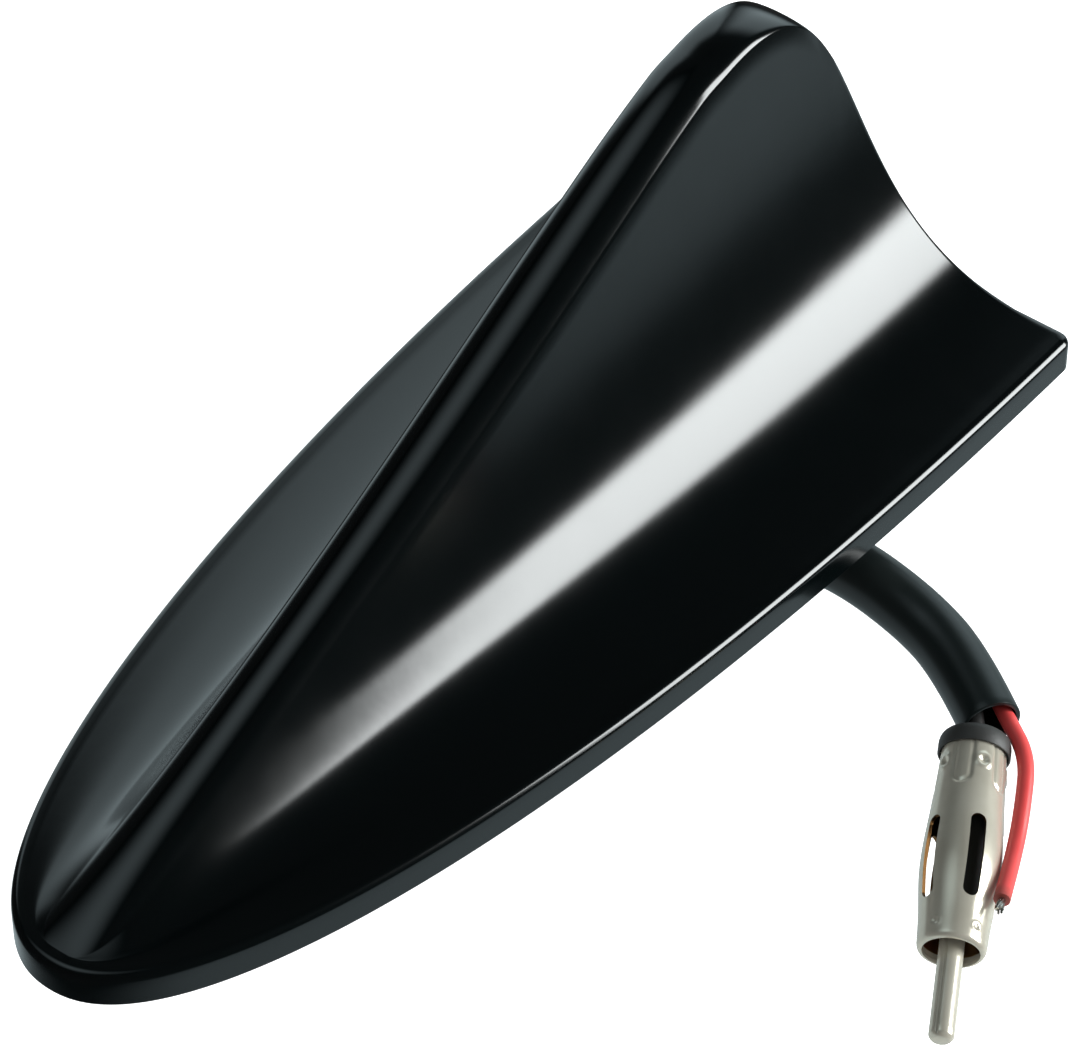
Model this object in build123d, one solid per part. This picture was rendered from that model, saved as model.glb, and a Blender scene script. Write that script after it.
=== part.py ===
from build123d import *
import math
import os

# Shark fin roof aerial with its amplifier, pigtail and plug.
# Millimetres. The nose points to -X and +Z is up.
# The origin is on the roof, under the middle of the housing.

# Fin housing: plan outline and rim
LENGTH = 165.0
HALF_WIDTH = 35.5
OUTLINE_POWER = 2.17
OUTLINE_POINTS = 9
RIM_BOTTOM = 0.6
RIM_HEIGHT = 5.0
RIM_TOP = RIM_BOTTOM + RIM_HEIGHT
RIM_EDGE_RADIUS = 1.2
REAR_CORNER_RADIUS = 2.0
WALL = 2.2

# Fin housing: crest, a curve of distance from the nose and height above the roof
CREST = [(0.0, 4.8), (75.0, 39.6), (118.0, 60.5), (136.0, 60.8)]
CREST_TOP = CREST[-1][1]
CREST_STATIONS = 11
CREST_HALVINGS = 40
STATION_CROWDING = 1.8
NOSE_SHARE = 0.006
CAVITY_NOSE = 7.0
BEYOND_TAIL = 5.0

# Fin housing: cross-section of the blade
FOOT_INSET = 0.9
FOOT_SINK = 0.3
FOOT_SLOPE = 13.0
FOOT_REACH = 0.61
RIDGE_NOSE = 5.0
RIDGE_MIDDLE = 6.5
RIDGE_TAIL = 4.0
RIDGE_LIMIT = 0.7
WAIST_RISE = 0.19
WAIST_LEAN_TAIL = 2.6
WAIST_LEAN_NOSE = 6.0
WAIST_EASE = 6.0
CROWN_DROP = 3.0
CROWN_EASE = 5.0
CROWN_EDGE = 0.5
CROWN_WIDTH = 0.62

# Fin housing: raked tail and rounded tip, a curve of distance from the nose and height above the roof
TAIL = [(163.8, RIM_TOP), (152.9, 46.0), (147.8, 62.5), (130.6, 62.5)]

# Base plate, its screws and the pad under it
PAD_THICKNESS = 1.2
PAD_INSET = 1.5
PLATE_THICKNESS = 2.0
PLATE_GAP = 0.2
PLATE_TOP = PAD_THICKNESS + PLATE_THICKNESS
SCREW_PLACES = [(-62.0, 0.0), (-18.0, -13.0), (-18.0, 13.0), (62.0, -18.0), (62.0, 18.0)]
SCREW_SHANK = 1.25
SCREW_HEAD = 2.4
SCREW_HEAD_HEIGHT = 1.0
SCREW_TIP = 8.2
SCREW_GAP = 0.05
BOSS_RADIUS = 3.3
COUNTERBORE_GAP = 0.15

# Grommet round the sleeve
CABLE_X = 36.0
PAD_HOLE = 7.6
PLATE_HOLE = 5.3
GROMMET_BODY = 5.2
GROMMET_FLANGE = 6.8
GROMMET_BORE = 4.2
GROMMET_LIP_BELOW = 0.9
GROMMET_LIP_ABOVE = 1.0

# Amplifier board on its posts
POST_HEIGHT = 3.0
POST_RADIUS = 2.2
BOARD_THICKNESS = 1.6
BOARD_FRONT = -26.0
BOARD_REAR = 26.0
BOARD_HALF_WIDTH = 9.0
BOARD_CORNER = 1.5
BOARD_BOTTOM = PLATE_TOP + POST_HEIGHT
BOARD_TOP = BOARD_BOTTOM + BOARD_THICKNESS
BOARD_SCREW_INSET = 2.6
BOARD_SCREW_SHANK = 0.9
BOARD_SCREW_HEAD = 1.8
BOARD_SCREW_HEAD_HEIGHT = 1.2
BOARD_SCREW_LENGTH = 3.6

# Upright aerial board and the ribs that guide it
AERIAL_THICKNESS = 1.0
AERIAL_FRONT = -24.0
AERIAL_REAR = 50.0
AERIAL_BOTTOM = 14.5
AERIAL_TURN = 12.0
AERIAL_REAR_BOTTOM = 36.0
AERIAL_CLEARANCE = 6.0
AERIAL_TOP_POINTS = 5
LEG_LENGTH = 5.0
LEG_STARTS = [-22.0, -8.0]
LEG_GAP = 0.15
RIB_PLACES = [14.0, 38.0]
RIB_THICKNESS = 1.4
RIB_HALF_WIDTH = 12.0
RIB_DEPTH = 16.0
RIB_SLOT_GAP = 0.1

# Small pieces on the amplifier board
CHOKE_PLACE = (2.0, 5.0)
CHOKE_FLANGE = 3.0
CHOKE_CORE = 2.3
CHOKE_FLANGE_HEIGHT = 0.8
CHOKE_HEIGHT = 4.4
CAPACITOR_PLACE = (2.0, -5.2)
CAPACITOR_RADIUS = 2.5
CAPACITOR_HEIGHT = 5.6
CAPACITOR_EDGE = 0.4
TRANSISTOR_PLACE = (11.0, -5.0)
TRANSISTOR_BODY = (4.5, 2.6, 1.5)
TRANSISTOR_TAB = (1.7, 4.2, 0.4)
CHIP_CAPACITOR = (2.0, 1.25, 1.2)
CHIP_CAPACITOR_PLACES = [(-15.0, 5.5), (-11.0, 5.5), (-15.0, -5.5), (9.0, 1.5)]
CHIP_RESISTOR = (2.0, 1.25, 0.6)
CHIP_RESISTOR_PLACES = [(-11.0, -5.5), (-6.0, 6.5), (-6.0, -6.5), (9.0, 6.5), (13.0, 1.5)]
CLAMP_X = 22.5
CLAMP_WIDTH = 3.0
CLAMP_STRAP = 0.6
CLAMP_FOOT = 3.6
CLAMP_GAP = 0.05

# Plug: its place, and the direction in which the pin points
PLUG_TOP = Vector(30.1, -57.15, -13.8)
PLUG_HEADING = 29.5
PLUG_DROOP = 11.5
COLLAR_LENGTH = 2.4
COLLAR_TOP_RADIUS = 3.5
COLLAR_RADIUS = 4.7
COLLAR_SIDE = 0.8
SHELL_END = 31.5
SHELL_WALL = 0.5
SHELL_PROFILE = [(4.2, COLLAR_LENGTH), (4.62, 10.0), (5.2, 19.5), (4.6, 27.5), (4.45, 30.3)]
SHELL_MOUTH = 3.7
SLOT_START = 13.7
SLOT_END = 25.5
SLOT_WIDTH = 2.1
SLOT_COUNT = 5
SLOT_TURN = 160.0
INSULATOR_TOP = 4.0
INSULATOR_STEP = 7.5
INSULATOR_END = 27.0
INSULATOR_HEAD = 3.7
INSULATOR_BODY = 2.7
PIN_TOP = 10.0
PIN_TIP = 44.0
PIN_RADIUS = 1.625
PIN_SHANK = 1.2
PIN_TIP_RADIUS = 0.6

# Sleeve, coax and supply wire: outer radii, and the shift of each inside the sleeve
SLEEVE_RADIUS = 4.1
SLEEVE_BORE = 3.5
COAX_RADIUS = 1.4
COAX_SHIFT = Vector(-1.35, 0.4, -0.2)
WIRE_RADIUS = 1.1
WIRE_SHIFT = Vector(2.1, -0.6, 0.2)
STRAND_RADIUS = 0.55
STRAND_LENGTH = 2.2
BEND_SHARE = 0.45

# Route of the sleeve, from the housing to the plug
SLEEVE_START = Vector(CABLE_X, 0.0, 6.2)
SLEEVE_ROUTE = [
    Vector(CABLE_X, 0.0, -2.4),
    Vector(36.9, -5.7, -7.4),
    Vector(38.6, -17.0, -8.0),
    Vector(40.7, -28.2, -7.6),
    Vector(41.8, -39.2, -11.4),
    Vector(38.9, -48.6, -12.5),
]
SLEEVE_END_BACK = 2.4
SLEEVE_END_SIDE = 1.65

# Ends of the coax and the wire: on the board, and at the plug as (along, aside, above)
COAX_HEIGHT = 11.6
COAX_START_X = 20.5
COAX_TURN_BACK = 3.4
WIRE_BOARD_END = Vector(17.0, 6.4, BOARD_TOP + WIRE_RADIUS)
WIRE_ARCH = Vector(27.0, 8.2, 13.5)
WIRE_BESIDE_PLUG = [
    (-3.4, 3.6, 0.3),
    (2.2, 6.8, 0.6),
    (9.4, 6.9, 0.6),
    (16.6, 6.5, 0.6),
    (25.0, 5.6, 3.2),
]


def from_nose(distance):
    """X of a place at a distance from the housing's nose."""
    return distance - LENGTH / 2


def crest_point(share):
    """Distance from the nose and height of the crest, at a share of its curve."""
    weights = [math.comb(3, k) * share**k * (1 - share) ** (3 - k) for k in range(4)]
    distance = sum(w * point[0] for w, point in zip(weights, CREST))
    height = sum(w * point[1] for w, point in zip(weights, CREST))
    return distance, height


def crest_stations():
    """(share, distance, height) of the cross-sections, crowded towards the nose."""
    stations = []
    for step in range(CREST_STATIONS):
        share = max(NOSE_SHARE, (step / (CREST_STATIONS - 1)) ** STATION_CROWDING)
        stations.append((share, *crest_point(share)))
    apex = CREST[-1][0]
    end = LENGTH + BEYOND_TAIL
    for distance in (apex + (end - apex) / 2, end):
        stations.append((1.0, distance, CREST_TOP))
    return stations


def plan_half_width(distance):
    """Half the width of the plan outline at a distance from the nose."""
    behind = max(0.0, (LENGTH - distance) / LENGTH)
    return HALF_WIDTH * (1 - behind**OUTLINE_POWER) ** (1 / OUTLINE_POWER)


def plan_outline(inset):
    """The housing's plan outline, drawn in by an inset: round nose, straight rear edge."""
    side = []
    for step in range(OUTLINE_POINTS):
        angle = math.pi / 2 * step / (OUTLINE_POINTS - 1)
        reach = 1 - math.cos(angle) ** (2 / OUTLINE_POWER)
        x = from_nose(inset + (LENGTH - 2 * inset) * reach)
        y = (HALF_WIDTH - inset) * math.sin(angle) ** (2 / OUTLINE_POWER)
        side.append((x, y))
    around = [(x, -y) for x, y in reversed(side)] + side[1:]
    curve = Spline(*around, tangents=[(-1, 0), (1, 0)])
    return make_face([curve, Line(curve @ 1, curve @ 0)])


def prism(face, low, high):
    """A flat face drawn upward between two heights."""
    return Pos(0, 0, low) * extrude(face, amount=high - low)


def disc(radius, low, high, x=0.0, y=0.0):
    """An upright cylinder between two heights."""
    return prism(Pos(x, y) * Circle(radius), low, high)


def block(size, place, bottom):
    """A box that stands on a height."""
    return prism(Pos(*place) * Rectangle(size[0], size[1]), bottom, bottom + size[2])


def blade_section(share, distance, height, inset):
    """Cross-section of the blade: foot, hollow flank, crowned ridge, and the same on the other side."""
    foot_y = plan_half_width(distance) - FOOT_INSET - inset
    foot_z = RIM_TOP - FOOT_SINK - inset
    crest_z = height - inset
    rise = crest_z - foot_z
    ridge = RIDGE_NOSE * (1 - share) ** 2 + 2 * RIDGE_MIDDLE * share * (1 - share) + RIDGE_TAIL * share**2
    ridge = 1 / math.hypot(1 / (ridge - inset), 1 / (RIDGE_LIMIT * foot_y))
    span = foot_y - ridge
    drop = CROWN_DROP * rise / (rise + CROWN_EASE)
    shoulder_z = crest_z - drop
    lean = WAIST_LEAN_TAIL + (WAIST_LEAN_NOSE - WAIST_LEAN_TAIL) * (1 - share) ** 2
    lean = lean * span / (span + WAIST_EASE)
    reach = FOOT_REACH * span
    flank = [
        (foot_y, foot_z),
        (foot_y - reach, foot_z + reach * math.tan(math.radians(FOOT_SLOPE)) * rise / (rise + WAIST_EASE)),
        (ridge + lean, foot_z + WAIST_RISE * (shoulder_z - foot_z)),
        (ridge, shoulder_z),
    ]
    edge_z = shoulder_z + CROWN_EDGE * drop
    # The middle control height that puts the top of a five-step curve on the crest
    middle_z = (32 * crest_z - 2 * shoulder_z - 10 * edge_z) / 20
    half_crown = [(ridge, shoulder_z), (ridge, edge_z), (CROWN_WIDTH * ridge, middle_z)]
    other_half = [(-y, z) for y, z in reversed(half_crown)]
    floor_z = RIM_BOTTOM + inset
    outline = [
        Line((-foot_y, floor_z), (foot_y, floor_z)),
        Line((foot_y, floor_z), flank[0]),
        Bezier(*flank),
        Bezier(*half_crown, *other_half),
        Bezier(*[(-y, z) for y, z in reversed(flank)]),
        Line((-foot_y, foot_z), (-foot_y, floor_z)),
    ]
    return Plane.YZ.offset(from_nose(distance)) * make_face(outline)


def tail_region(inset):
    """Everything ahead of the raked tail and under its rounded tip, drawn in by an inset."""
    foot, *upper = TAIL
    points = [(from_nose(foot[0] - inset), foot[1])]
    points += [(from_nose(distance - inset), height - inset) for distance, height in upper]
    front = from_nose(-BEYOND_TAIL)
    low = (points[0][0], RIM_BOTTOM)
    corners = [points[-1], (front, points[-1][1]), (front, RIM_BOTTOM), low, points[0]]
    outline = make_face([Bezier(*points), Polyline(*corners)])
    return extrude(Plane.XZ * outline, amount=2 * HALF_WIDTH, both=True)


def blade(inset, start):
    """The rising blade of the fin, lofted through its cross-sections and cut off at the tail."""
    sections = [blade_section(*station, inset) for station in crest_stations() if station[1] >= start]
    return loft(sections) & tail_region(inset)


def skirt():
    """The rim round the foot of the housing, with its rounded top edge."""
    rim = prism(plan_outline(0.0), RIM_BOTTOM, RIM_TOP)
    rear_corners = rim.edges().filter_by(Axis.Z).sort_by(Axis.X)[-2:]
    rim = fillet(rear_corners, REAR_CORNER_RADIUS)
    return fillet(rim.faces().sort_by(Axis.Z)[-1].edges(), RIM_EDGE_RADIUS)


def guide_rib(x, body):
    """A rib under the ridge, slotted for the upright aerial board."""
    top = CREST_TOP
    low = crest_height_at(x) - RIB_DEPTH
    slot = AERIAL_THICKNESS / 2 + RIB_SLOT_GAP
    sheet = block((RIB_THICKNESS, 2 * RIB_HALF_WIDTH, top - low), (x, 0), low)
    gap = block((2 * RIB_THICKNESS, 2 * slot, crest_height_at(x) - WALL - low), (x, 0), low)
    return (sheet & body) - gap


def crest_height_at(x):
    """Height of the crest above an X, found by halving the curve."""
    low, high = 0.0, 1.0
    for _ in range(CREST_HALVINGS):
        middle = (low + high) / 2
        if from_nose(crest_point(middle)[0]) < x:
            low = middle
        else:
            high = middle
    return crest_point(low)[1]


def fin_shell():
    """The moulded housing: skirt and blade, hollowed, with screw bosses and guide ribs inside."""
    body = skirt() + blade(0.0, 0.0)
    cavity = prism(plan_outline(WALL), 0.0, RIM_TOP - WALL) + blade(WALL, CAVITY_NOSE)
    shell = body - cavity
    for x, y in SCREW_PLACES:
        shell += disc(BOSS_RADIUS, PLATE_TOP, CREST_TOP, x, y) & body
    for x in RIB_PLACES:
        shell += guide_rib(x, body)
    for x, y in SCREW_PLACES:
        shell -= disc(SCREW_SHANK + SCREW_GAP, 0.0, SCREW_TIP + 2 * SCREW_GAP, x, y)
    return shell


def board_screw_places():
    """The board's four corners, where its screws go."""
    front = BOARD_FRONT + BOARD_SCREW_INSET
    rear = BOARD_REAR - BOARD_SCREW_INSET
    side = BOARD_HALF_WIDTH - BOARD_SCREW_INSET
    return [(x, y) for x in (front, rear) for y in (-side, side)]


def base_plate():
    """The plate that closes the housing, with posts, counterbored screw holes and the cable hole."""
    plate = prism(plan_outline(WALL + PLATE_GAP), PAD_THICKNESS, PLATE_TOP)
    for x, y in board_screw_places():
        plate += disc(POST_RADIUS, PLATE_TOP, BOARD_BOTTOM, x, y)
        plate -= disc(BOARD_SCREW_SHANK + SCREW_GAP, PLATE_TOP, BOARD_BOTTOM, x, y)
    for x, y in SCREW_PLACES:
        head_top = PAD_THICKNESS + SCREW_HEAD_HEIGHT + SCREW_GAP
        plate -= disc(SCREW_SHANK + COUNTERBORE_GAP, PAD_THICKNESS, PLATE_TOP, x, y)
        plate -= disc(SCREW_HEAD + COUNTERBORE_GAP, PAD_THICKNESS, head_top, x, y)
    return plate - disc(PLATE_HOLE, PAD_THICKNESS, PLATE_TOP, CABLE_X)


def adhesive_pad():
    """The foam pad that meets the roof."""
    pad = prism(plan_outline(WALL + PLATE_GAP + PAD_INSET), 0.0, PAD_THICKNESS)
    return pad - disc(PAD_HOLE, 0.0, PAD_THICKNESS, CABLE_X)


def base_screws():
    """Five screws from beneath, one solid each."""
    screws = []
    for x, y in SCREW_PLACES:
        head = disc(SCREW_HEAD, PAD_THICKNESS, PAD_THICKNESS + SCREW_HEAD_HEIGHT, x, y)
        screws.append(head + disc(SCREW_SHANK, PAD_THICKNESS, SCREW_TIP, x, y))
    return Compound(children=screws)


def cable_grommet():
    """The rubber grommet in the plate's cable hole, with a lip on each side."""
    body = disc(GROMMET_BODY, PAD_THICKNESS, PLATE_TOP, CABLE_X)
    body += disc(GROMMET_FLANGE, PAD_THICKNESS - GROMMET_LIP_BELOW, PAD_THICKNESS, CABLE_X)
    body += disc(GROMMET_FLANGE, PLATE_TOP, PLATE_TOP + GROMMET_LIP_ABOVE, CABLE_X)
    return body - disc(GROMMET_BORE, 0.0, PLATE_TOP + GROMMET_LIP_ABOVE, CABLE_X)


def amplifier_board():
    """The amplifier's board, with screw holes and slots for the aerial board's legs."""
    length = BOARD_REAR - BOARD_FRONT
    outline = Pos((BOARD_REAR + BOARD_FRONT) / 2, 0) * RectangleRounded(
        length, 2 * BOARD_HALF_WIDTH, BOARD_CORNER
    )
    board = prism(outline, BOARD_BOTTOM, BOARD_TOP)
    for x, y in board_screw_places():
        board -= disc(BOARD_SCREW_SHANK + COUNTERBORE_GAP, BOARD_BOTTOM, BOARD_TOP, x, y)
    slot = (LEG_LENGTH + 2 * LEG_GAP, AERIAL_THICKNESS + 2 * LEG_GAP, BOARD_THICKNESS)
    for start in LEG_STARTS:
        board -= block(slot, (start + LEG_LENGTH / 2, 0), BOARD_BOTTOM)
    return board


def board_screws():
    """Four screws that hold the amplifier board, one solid each."""
    screws = []
    for x, y in board_screw_places():
        head = disc(BOARD_SCREW_HEAD, BOARD_TOP, BOARD_TOP + BOARD_SCREW_HEAD_HEIGHT, x, y)
        screws.append(head + disc(BOARD_SCREW_SHANK, BOARD_TOP - BOARD_SCREW_LENGTH, BOARD_TOP, x, y))
    return Compound(children=screws)


def aerial_board():
    """The upright board: its top edge runs under the crest, and two legs stand in the amplifier board."""
    steps = range(AERIAL_TOP_POINTS)
    tops = [AERIAL_FRONT + (AERIAL_REAR - AERIAL_FRONT) * step / (AERIAL_TOP_POINTS - 1) for step in steps]
    edge = Spline(*[(x, crest_height_at(x) - AERIAL_CLEARANCE) for x in tops])
    rest = Polyline(
        edge @ 1,
        (AERIAL_REAR, AERIAL_REAR_BOTTOM),
        (AERIAL_TURN, AERIAL_BOTTOM),
        (AERIAL_FRONT, AERIAL_BOTTOM),
        edge @ 0,
    )
    face = Plane.XZ * make_face([edge, rest])
    board = extrude(face, amount=AERIAL_THICKNESS / 2, both=True)
    leg = (LEG_LENGTH, AERIAL_THICKNESS, AERIAL_BOTTOM - BOARD_BOTTOM)
    for start in LEG_STARTS:
        board += block(leg, (start + LEG_LENGTH / 2, 0), BOARD_BOTTOM)
    return board


def input_choke():
    """A drum core between two flanges."""
    x, y = CHOKE_PLACE
    upper = BOARD_TOP + CHOKE_HEIGHT
    choke = disc(CHOKE_CORE, BOARD_TOP, upper, x, y)
    choke += disc(CHOKE_FLANGE, BOARD_TOP, BOARD_TOP + CHOKE_FLANGE_HEIGHT, x, y)
    return choke + disc(CHOKE_FLANGE, upper - CHOKE_FLANGE_HEIGHT, upper, x, y)


def filter_capacitor():
    """A can capacitor that stands on the board."""
    can = disc(CAPACITOR_RADIUS, BOARD_TOP, BOARD_TOP + CAPACITOR_HEIGHT, *CAPACITOR_PLACE)
    return fillet(can.edges().group_by(Axis.Z)[-1], CAPACITOR_EDGE)


def amplifier_transistor():
    """A flat-bodied transistor on its tab."""
    tab = block(TRANSISTOR_TAB, TRANSISTOR_PLACE, BOARD_TOP)
    return tab + block(TRANSISTOR_BODY, TRANSISTOR_PLACE, BOARD_TOP)


def chips(size, places):
    """Equal chips on the board, one solid each."""
    return Compound(children=[block(size, place, BOARD_TOP) for place in places])


def coax_clamp():
    """A strap over the coax, with a pedestal under it and a foot on each side."""
    y = COAX_SHIFT.Y
    inner = COAX_RADIUS + CLAMP_GAP
    outer = inner + CLAMP_STRAP
    height = COAX_HEIGHT - BOARD_TOP
    outline = Pos(y, COAX_HEIGHT) * Circle(outer)
    outline += Pos(y, BOARD_TOP + height / 2) * Rectangle(2 * outer, height)
    outline += Pos(y, BOARD_TOP + CLAMP_STRAP / 2) * Rectangle(2 * CLAMP_FOOT, CLAMP_STRAP)
    outline -= Pos(y, COAX_HEIGHT) * Circle(inner)
    return extrude(Plane.YZ.offset(CLAMP_X - CLAMP_WIDTH / 2) * outline, amount=CLAMP_WIDTH)


def plug_directions():
    """The plug's own directions: along its pin, aside (level) and above."""
    heading, droop = math.radians(PLUG_HEADING), math.radians(PLUG_DROOP)
    level = math.cos(droop)
    along = Vector(-math.cos(heading) * level, -math.sin(heading) * level, -math.sin(droop))
    aside = Vector(math.sin(heading), -math.cos(heading), 0.0)
    return along, aside, along.cross(aside)


def at_plug(along, aside, above):
    """A point given in the plug's own directions, from the top of its collar."""
    directions = plug_directions()
    return PLUG_TOP + directions[0] * along + directions[1] * aside + directions[2] * above


def plug_plane():
    """The plane on top of the collar, with its normal along the pin."""
    along, aside, _ = plug_directions()
    return Plane(origin=PLUG_TOP, x_dir=aside, z_dir=along)


def turned(outline):
    """A piece of the plug: an outline of radius and distance, turned about the plug's axis."""
    return plug_plane() * revolve(Plane.XZ * outline, Axis.Z)


def plug_disc(radius, start, end):
    """A cylinder on the plug's axis."""
    return plug_plane() * disc(radius, start, end)


def plug_collar():
    """The collar on top of the plug: domed above, straight below, bored for the coax."""
    dome_end = COLLAR_LENGTH - COLLAR_SIDE
    dome = Bezier((COLLAR_TOP_RADIUS, 0.0), (COLLAR_RADIUS, 0.0), (COLLAR_RADIUS, dome_end))
    edges = Polyline(
        dome @ 1,
        (COLLAR_RADIUS, COLLAR_LENGTH),
        (COAX_RADIUS, COLLAR_LENGTH),
        (COAX_RADIUS, 0.0),
        dome @ 0,
    )
    return turned(make_face([dome, edges]))


def plug_shell():
    """The plated barrel: bulged to spring in its socket, slotted, with its mouth rolled in."""
    outside = Spline(*SHELL_PROFILE)
    inside = Spline(*[(radius - SHELL_WALL, place) for radius, place in SHELL_PROFILE])
    lip = SHELL_END - SHELL_WALL
    outer_lip = Bezier(outside @ 1, (SHELL_PROFILE[-1][0], SHELL_END), (SHELL_MOUTH, SHELL_END))
    inner_lip = Bezier(inside @ 1, (SHELL_PROFILE[-1][0] - SHELL_WALL, lip), (SHELL_MOUTH, lip))
    outline = [
        outside,
        outer_lip,
        Line(outer_lip @ 1, inner_lip @ 1),
        inner_lip,
        inside,
        Line(inside @ 0, outside @ 0),
    ]
    shell = turned(make_face(outline))
    slot = Pos(0, (SLOT_START + SLOT_END) / 2) * SlotOverall(SLOT_END - SLOT_START, SLOT_WIDTH, rotation=90)
    cutter = extrude(Plane.XZ * slot, amount=2 * HALF_WIDTH)
    for step in range(SLOT_COUNT):
        shell -= plug_plane() * Rot(Z=SLOT_TURN + step * 360 / SLOT_COUNT) * cutter
    return shell


def plug_insulator():
    """The stepped bush that holds the pin in the barrel."""
    bush = plug_disc(INSULATOR_HEAD, INSULATOR_TOP, INSULATOR_STEP)
    bush += plug_disc(INSULATOR_BODY, INSULATOR_STEP, INSULATOR_END)
    return bush - plug_disc(PIN_SHANK, PIN_TOP, INSULATOR_END)


def plug_pin():
    """The centre pin: a shank in the bush, and the stretch outside the barrel with its rounded tip."""
    pin = disc(PIN_RADIUS, SHELL_END, PIN_TIP)
    pin = fillet(pin.edges().group_by(Axis.Z)[-1], PIN_TIP_RADIUS)
    return plug_plane() * (pin + disc(PIN_SHANK, PIN_TOP, SHELL_END))


def bend_radii(points):
    """Radius of the arc at each inner point: as large as the shorter straight run beside it allows."""
    radii = []
    for before, here, after in zip(points, points[1:], points[2:]):
        turn = math.radians((here - before).get_angle(after - here))
        shorter = min((here - before).length, (after - here).length)
        radii.append(BEND_SHARE * shorter / math.tan(turn / 2))
    return radii


def cord_path(name, points):
    """The centre line of a cord: straight runs joined by arcs."""
    radii = bend_radii(points)
    path = FilletPolyline(*points, radius=radii)
    print(name, "length", round(path.length, 1), "radii", [round(radius, 1) for radius in radii])
    return path


def tube(path, radius, bore=0.0):
    """A round cord along a path, hollow if it has a bore."""
    section = Circle(radius)
    if bore:
        section -= Circle(bore)
    return sweep(Plane(path @ 0, z_dir=path % 0) * section, path)


def cable_sleeve():
    """The sleeve, from inside the housing to just above the plug."""
    end = at_plug(-SLEEVE_END_BACK, SLEEVE_END_SIDE, 0.0)
    path = cord_path("cable_sleeve", [SLEEVE_START, *SLEEVE_ROUTE, end])
    return tube(path, SLEEVE_RADIUS, SLEEVE_BORE)


def coax_cable():
    """The coax: along the board, down the sleeve, and into the plug's collar."""
    inside = SLEEVE_START + COAX_SHIFT
    points = [Vector(COAX_START_X, inside.Y, COAX_HEIGHT), Vector(inside.X, inside.Y, COAX_HEIGHT)]
    points += [point + COAX_SHIFT for point in SLEEVE_ROUTE]
    points += [at_plug(-COAX_TURN_BACK, 0.0, 0.0), at_plug(INSULATOR_TOP, 0.0, 0.0)]
    return tube(cord_path("coax_cable", points), COAX_RADIUS)


def wire_path():
    """The supply wire: from the board over an arch, down the sleeve, and along beside the plug."""
    inside = SLEEVE_START + WIRE_SHIFT
    points = [WIRE_BOARD_END, WIRE_ARCH, Vector(inside.X, inside.Y, WIRE_ARCH.Z)]
    points += [point + WIRE_SHIFT for point in SLEEVE_ROUTE]
    points += [at_plug(*place) for place in WIRE_BESIDE_PLUG]
    return cord_path("supply_wire", points)


def supply_wire(path):
    """The wire's red insulation with its conductor."""
    return tube(path, WIRE_RADIUS)


def supply_wire_strands(path):
    """The bare end of the wire's conductor."""
    end = Plane(path @ 1, z_dir=path % 1)
    return extrude(end * Circle(STRAND_RADIUS), amount=STRAND_LENGTH)


wire = wire_path()
nodes = {
    "fin_shell": fin_shell(),
    "base_plate": base_plate(),
    "adhesive_pad": adhesive_pad(),
    "base_screws": base_screws(),
    "cable_grommet": cable_grommet(),
    "amplifier_board": amplifier_board(),
    "board_screws": board_screws(),
    "aerial_board": aerial_board(),
    "input_choke": input_choke(),
    "filter_capacitor": filter_capacitor(),
    "amplifier_transistor": amplifier_transistor(),
    "chip_capacitors": chips(CHIP_CAPACITOR, CHIP_CAPACITOR_PLACES),
    "chip_resistors": chips(CHIP_RESISTOR, CHIP_RESISTOR_PLACES),
    "coax_clamp": coax_clamp(),
    "cable_sleeve": cable_sleeve(),
    "coax_cable": coax_cable(),
    "supply_wire": supply_wire(wire),
    "supply_wire_strands": supply_wire_strands(wire),
    "plug_collar": plug_collar(),
    "plug_shell": plug_shell(),
    "plug_insulator": plug_insulator(),
    "plug_pin": plug_pin(),
}
os.makedirs("parts", exist_ok=True)
for name, solid in nodes.items():
    export_step(solid, f"parts/{name}.step")
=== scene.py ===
import functools
import math

import bpy
from mathutils import Matrix, Vector


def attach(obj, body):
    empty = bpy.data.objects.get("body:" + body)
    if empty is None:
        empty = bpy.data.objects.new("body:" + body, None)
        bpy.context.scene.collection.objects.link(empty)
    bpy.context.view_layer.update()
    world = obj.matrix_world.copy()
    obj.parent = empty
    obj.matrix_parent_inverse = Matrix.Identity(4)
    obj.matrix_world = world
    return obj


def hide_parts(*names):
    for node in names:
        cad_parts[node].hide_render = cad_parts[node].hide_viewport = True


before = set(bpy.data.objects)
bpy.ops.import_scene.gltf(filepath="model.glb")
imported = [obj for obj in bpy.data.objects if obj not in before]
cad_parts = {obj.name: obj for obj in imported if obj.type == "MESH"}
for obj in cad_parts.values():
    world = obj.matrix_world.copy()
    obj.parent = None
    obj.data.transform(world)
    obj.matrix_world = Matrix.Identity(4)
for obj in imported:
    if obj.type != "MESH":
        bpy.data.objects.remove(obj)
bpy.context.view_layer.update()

# Sizes are in millimetres, as in the part's source, and MM turns them into metres.
MM = 0.001

# Meshes: how near points are merged or count as one, and the angles up to which edges are smoothed
MERGE_GAP = 0.002
SAME_PLACE = 0.00001
SMOOTH_ANGLE = 35.0
FIN_SMOOTH_ANGLE = 30.0
SLEEVE_SMOOTH_ANGLE = 40.0

# Fin housing: plan outline and rim
LENGTH = 165.0
HALF_WIDTH = 35.5
OUTLINE_POWER = 2.17
RIM_BOTTOM = 0.6
RIM_TOP = 5.6
RIM_EDGE = 1.2
RIM_EDGE_STEPS = 8
REAR_CORNER = 2.0
REAR_CORNER_STEPS = 7
WALL = 1.6

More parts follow.
